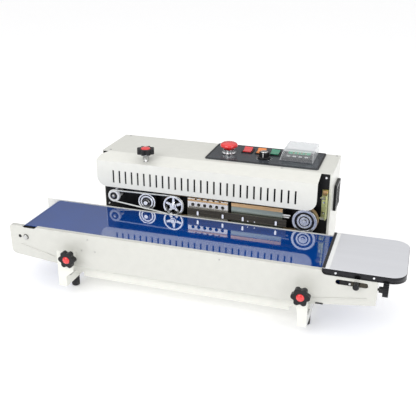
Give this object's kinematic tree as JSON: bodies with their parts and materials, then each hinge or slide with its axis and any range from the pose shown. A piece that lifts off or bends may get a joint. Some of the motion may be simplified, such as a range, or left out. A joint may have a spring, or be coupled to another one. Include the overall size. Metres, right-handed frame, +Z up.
{
  "type": "continuous band sealer",
  "caption": "Bench-top horizontal band sealer: blue belt conveyor with infeed tray, slotted sealing head with wheels and bands, and a control panel on top.",
  "frame": {"origin": "on the bench, under the middle of the bounding box", "axes": "+X along the belt towards the infeed tray, +Y away from the operator towards the rear panel, +Z up"},
  "size_m": [0.84, 0.376, 0.2941],
  "materials": {
    "cream_paint": "powder-coated cream white, slightly glossy",
    "black_paint": "black painted steel plate",
    "motor": "dark grey motor paint",
    "rubber": "matt black rubber",
    "black_plastic": "satin black moulded plastic",
    "panel": "dark grey glossy film on a plate, black border",
    "steel": "plated steel",
    "stainless": "smooth stainless sheet",
    "silver": "bright turned steel",
    "aluminium": "machined aluminium",
    "belt": "glossy blue PVC belt",
    "band": "tan PTFE-coated glass cloth band",
    "rope": "white polyurethane round belt",
    "strip": "dark olive guide strip",
    "zinc": "yellow zinc plated steel",
    "chrome": "chromed collar",
    "red": "glossy red plastic",
    "orange": "glossy orange plastic",
    "green": "glossy green plastic",
    "clear": "clear moulded plastic"
  },
  "bodies": {
    "machine": {"base_plate": "cream_paint", "rail_left": "cream_paint", "rail_right": "cream_paint", "foot_front_left": "rubber", "foot_front_right": "rubber", "foot_rear_left": "rubber", "foot_rear_right": "rubber", "head_casing": "cream_paint", "rear_panel": "cream_paint", "front_plate": "black_paint", "hood": "cream_paint", "control_panel": "panel", "mains_inlet": "black_plastic", "fan_frame": "black_plastic", "fan_guard": "black_plastic", "gear_motor": "motor", "heater_block_upper": "aluminium", "heater_block_lower": "aluminium", "cooling_block_upper": "aluminium", "cooling_block_lower": "aluminium", "seal_band_upper": "band", "seal_band_lower": "band", "guide_rope_upper": "rope", "guide_rope_lower": "rope", "guide_strip": "strip", "tension_bracket": "zinc", "estop_collar": "chrome", "temperature_controller": "black_plastic"},
    "conveyor": {"front_skirt": "cream_paint", "rear_rail": "cream_paint", "belt_bed": "steel", "conveyor_belt": "belt", "infeed_tray": "stainless"},
    "tension_carriage": {"tension_block": "steel"},
    "tension_roller": {"tension_roller": "steel"},
    "drive_roller": {"drive_roller": "steel"},
    "tension_knob": {"tension_knob": "black_plastic"},
    "clamp_knob_left": {"clamp_knob_left": "black_plastic"},
    "clamp_knob_right": {"clamp_knob_right": "black_plastic"},
    "lower_drive": {"drive_wheel_lower": "silver", "drive_gear_lower": "steel"},
    "upper_drive": {"drive_wheel_upper": "silver", "drive_gear_upper": "steel"},
    "upper_driven": {"driven_wheel_upper": "silver"},
    "lower_driven": {"driven_wheel_lower": "silver"},
    "emboss_wheel": {"emboss_wheel": "silver"},
    "press_roller": {"press_roller": "rubber"},
    "upper_pulley": {"guide_pulley_upper": "silver"},
    "lower_pulley": {"guide_pulley_lower": "silver"},
    "motor_shaft": {"motor_gear": "steel"},
    "fan": {"fan_rotor": "black_plastic"},
    "pressure_knob": {"pressure_knob": "black_plastic"},
    "estop_button": {"estop_button": "red"},
    "rocker_red": {"rocker_red": "red"},
    "rocker_orange": {"rocker_orange": "orange"},
    "rocker_green": {"rocker_green": "green"},
    "speed_knob": {"speed_knob": "black_plastic"},
    "controller_cover": {"controller_cover": "clear"}
  },
  "joints": [
    {"name": "conveyor_height", "type": "slide", "parent": "machine", "child": "conveyor", "axis": [0, 0, 1], "range_m": [-0.015, 0]},
    {"name": "tension_knob_turn", "type": "hinge", "parent": "conveyor", "child": "tension_knob", "pos_m": [0.38, -0.144, 0.1165], "axis": [1, 0, 0], "range_deg": [0, 3600]},
    {"name": "belt_tension", "type": "slide", "parent": "conveyor", "child": "tension_carriage", "axis": [1, 0, 0], "range_m": [-0.008, 0]},
    {"name": "tension_roller_spin", "type": "hinge", "parent": "tension_carriage", "child": "tension_roller", "pos_m": [0.331, 0.03, 0.1227], "axis": [0, -1, 0], "continuous": true},
    {"name": "drive_roller_spin", "type": "hinge", "parent": "conveyor", "child": "drive_roller", "pos_m": [-0.3815, 0.03, 0.1182], "axis": [0, -1, 0], "continuous": true},
    {"name": "clamp_knob_left_turn", "type": "hinge", "parent": "conveyor", "child": "clamp_knob_left", "pos_m": [-0.267, -0.18, 0.095], "axis": [0, -1, 0], "range_deg": [0, 720]},
    {"name": "clamp_knob_right_turn", "type": "hinge", "parent": "conveyor", "child": "clamp_knob_right", "pos_m": [0.2315, -0.18, 0.095], "axis": [0, -1, 0], "range_deg": [0, 720]},
    {"name": "lower_drive_spin", "type": "hinge", "parent": "machine", "child": "lower_drive", "pos_m": [-0.102, 0.03, 0.1092], "axis": [0, -1, 0], "continuous": true},
    {"name": "upper_drive_spin", "type": "hinge", "parent": "machine", "child": "upper_drive", "pos_m": [-0.102, 0.03, 0.1598], "axis": [0, -1, 0], "continuous": true},
    {"name": "upper_driven_spin", "type": "hinge", "parent": "machine", "child": "upper_driven", "pos_m": [0.198, 0.03, 0.1628], "axis": [0, -1, 0], "continuous": true},
    {"name": "lower_driven_spin", "type": "hinge", "parent": "machine", "child": "lower_driven", "pos_m": [0.198, 0.03, 0.1062], "axis": [0, -1, 0], "continuous": true},
    {"name": "emboss_wheel_spin", "type": "hinge", "parent": "machine", "child": "emboss_wheel", "pos_m": [-0.169, 0.03, 0.1587], "axis": [0, -1, 0], "continuous": true},
    {"name": "press_roller_spin", "type": "hinge", "parent": "machine", "child": "press_roller", "pos_m": [-0.169, 0.03, 0.1103], "axis": [0, -1, 0], "continuous": true},
    {"name": "upper_pulley_spin", "type": "hinge", "parent": "machine", "child": "upper_pulley", "pos_m": [-0.249, 0.03, 0.1665], "axis": [0, -1, 0], "continuous": true},
    {"name": "lower_pulley_spin", "type": "hinge", "parent": "machine", "child": "lower_pulley", "pos_m": [-0.249, 0.03, 0.1025], "axis": [0, -1, 0], "continuous": true},
    {"name": "motor_spin", "type": "hinge", "parent": "machine", "child": "motor_shaft", "pos_m": [-0.05312, 0.03, 0.0961], "axis": [0, -1, 0], "continuous": true},
    {"name": "fan_spin", "type": "hinge", "parent": "machine", "child": "fan", "pos_m": [0.2327, 0.125, 0.193], "axis": [1, 0, 0], "continuous": true},
    {"name": "pressure_knob_turn", "type": "hinge", "parent": "machine", "child": "pressure_knob", "pos_m": [-0.167, 0.026, 0.28], "axis": [0, 0, 1], "range_deg": [-720, 720]},
    {"name": "estop_press", "type": "slide", "parent": "machine", "child": "estop_button", "axis": [0, 0, 1], "range_m": [-0.004, 0]},
    {"name": "power_rocker", "type": "hinge", "parent": "machine", "child": "rocker_red", "pos_m": [0.039, 0.142, 0.2643], "axis": [1, 0, 0], "range_deg": [-20, 0]},
    {"name": "heater_rocker", "type": "hinge", "parent": "machine", "child": "rocker_orange", "pos_m": [0.071, 0.142, 0.2643], "axis": [1, 0, 0], "range_deg": [-20, 0]},
    {"name": "fan_rocker", "type": "hinge", "parent": "machine", "child": "rocker_green", "pos_m": [0.103, 0.142, 0.2643], "axis": [1, 0, 0], "range_deg": [-20, 0]},
    {"name": "speed_knob_turn", "type": "hinge", "parent": "machine", "child": "speed_knob", "pos_m": [0.086, 0.104, 0.275], "axis": [0, 0, -1], "range_deg": [0, 270]},
    {"name": "controller_cover_hinge", "type": "hinge", "parent": "machine", "child": "controller_cover", "pos_m": [0.1585, 0.176, 0.2686], "axis": [-1, 0, 0], "range_deg": [0, 95]}
  ],
  "couplings": [
    {"joint": "tension_knob_turn", "follows": "belt_tension", "rad_per_m": -7853.9},
    {"joint": "upper_drive_spin", "follows": "lower_drive_spin", "ratio": -1},
    {"joint": "upper_driven_spin", "follows": "lower_drive_spin", "ratio": -0.89267},
    {"joint": "lower_driven_spin", "follows": "lower_drive_spin", "ratio": 0.89267},
    {"joint": "emboss_wheel_spin", "follows": "lower_drive_spin", "ratio": -1.1881},
    {"joint": "press_roller_spin", "follows": "lower_drive_spin", "ratio": 1.1881},
    {"joint": "upper_pulley_spin", "follows": "lower_drive_spin", "ratio": -1.7576},
    {"joint": "lower_pulley_spin", "follows": "lower_drive_spin", "ratio": 1.7576},
    {"joint": "motor_spin", "follows": "lower_drive_spin", "ratio": -1},
    {"joint": "drive_roller_spin", "follows": "lower_drive_spin", "ratio": 1.0943},
    {"joint": "tension_roller_spin", "follows": "lower_drive_spin", "ratio": 1.3634}
  ]
}
